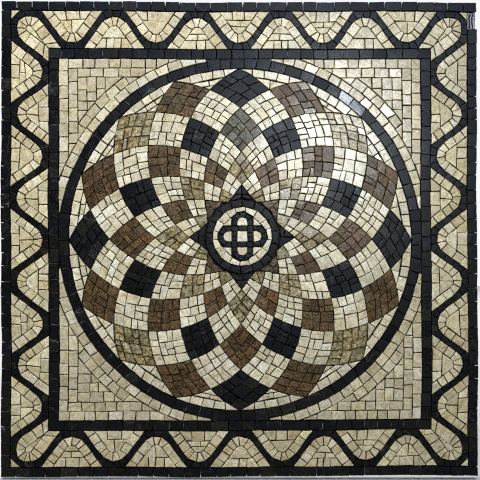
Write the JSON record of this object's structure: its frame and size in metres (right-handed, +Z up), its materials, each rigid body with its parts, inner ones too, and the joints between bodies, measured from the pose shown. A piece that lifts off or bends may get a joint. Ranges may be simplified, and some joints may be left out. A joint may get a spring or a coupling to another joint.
{
  "type": "mosaic panel",
  "caption": "Square hand-cut marble mosaic panel on a mesh backing: wave border, circle, curved-cell rosette, star and interlaced-loop roundel.",
  "frame": {"origin": "centre of the flat back face of the mesh backing, where the panel is glued or hung", "axes": "+Z up, +X to the right as seen from the front, the stones face -Y and +Y points out of the back into the wall"},
  "size_m": [0.5, 0.0115, 0.5],
  "materials": {
    "black_marble": "honed black marble, slight sheen",
    "cream_limestone": "honed cream limestone with soft mottling",
    "brown_marble": "honed dark brown marble with reddish mottling",
    "green_marble": "honed olive-tan marble with dark spots",
    "mixed_marble": "cells of the cream, black, brown and olive stones side by side",
    "glass_mesh": "open glass-fibre mesh in whitish adhesive"
  },
  "bodies": {
    "root": {"mesh_backing": "glass_mesh", "outer_border": "black_marble", "wave_line": "black_marble", "inner_border": "black_marble", "circle_band": "black_marble", "top_outer_lobe_1": "cream_limestone", "top_outer_lobe_2": "cream_limestone", "top_outer_lobe_3": "cream_limestone", "top_outer_lobe_4": "cream_limestone", "top_outer_lobe_5": "cream_limestone", "top_inner_lobe_1": "cream_limestone", "top_inner_lobe_2": "cream_limestone", "top_inner_lobe_3": "cream_limestone", "top_inner_lobe_4": "cream_limestone", "top_right_corner_lobe": "cream_limestone", "top_right_corner_tip": "cream_limestone", "top_right_corner_field": "cream_limestone", "right_outer_lobe_1": "cream_limestone", "right_outer_lobe_2": "cream_limestone", "right_outer_lobe_3": "cream_limestone", "right_outer_lobe_4": "cream_limestone", "right_outer_lobe_5": "cream_limestone", "right_inner_lobe_1": "cream_limestone", "right_inner_lobe_2": "cream_limestone", "right_inner_lobe_3": "cream_limestone", "right_inner_lobe_4": "cream_limestone", "bottom_right_corner_lobe": "cream_limestone", "bottom_right_corner_tip": "cream_limestone", "bottom_right_corner_field": "cream_limestone", "bottom_outer_lobe_1": "cream_limestone", "bottom_outer_lobe_2": "cream_limestone", "bottom_outer_lobe_3": "cream_limestone", "bottom_outer_lobe_4": "cream_limestone", "bottom_outer_lobe_5": "cream_limestone", "bottom_inner_lobe_1": "cream_limestone", "bottom_inner_lobe_2": "cream_limestone", "bottom_inner_lobe_3": "cream_limestone", "bottom_inner_lobe_4": "cream_limestone", "bottom_left_corner_lobe": "cream_limestone", "bottom_left_corner_tip": "cream_limestone", "bottom_left_corner_field": "cream_limestone", "left_outer_lobe_1": "cream_limestone", "left_outer_lobe_2": "cream_limestone", "left_outer_lobe_3": "cream_limestone", "left_outer_lobe_4": "cream_limestone", "left_outer_lobe_5": "cream_limestone", "left_inner_lobe_1": "cream_limestone", "left_inner_lobe_2": "cream_limestone", "left_inner_lobe_3": "cream_limestone", "left_inner_lobe_4": "cream_limestone", "top_left_corner_lobe": "cream_limestone", "top_left_corner_tip": "cream_limestone", "top_left_corner_field": "cream_limestone", "rosette_field": "mixed_marble", "centre_star": "black_marble", "centre_roundel": "mixed_marble"}
  },
  "joints": []
}
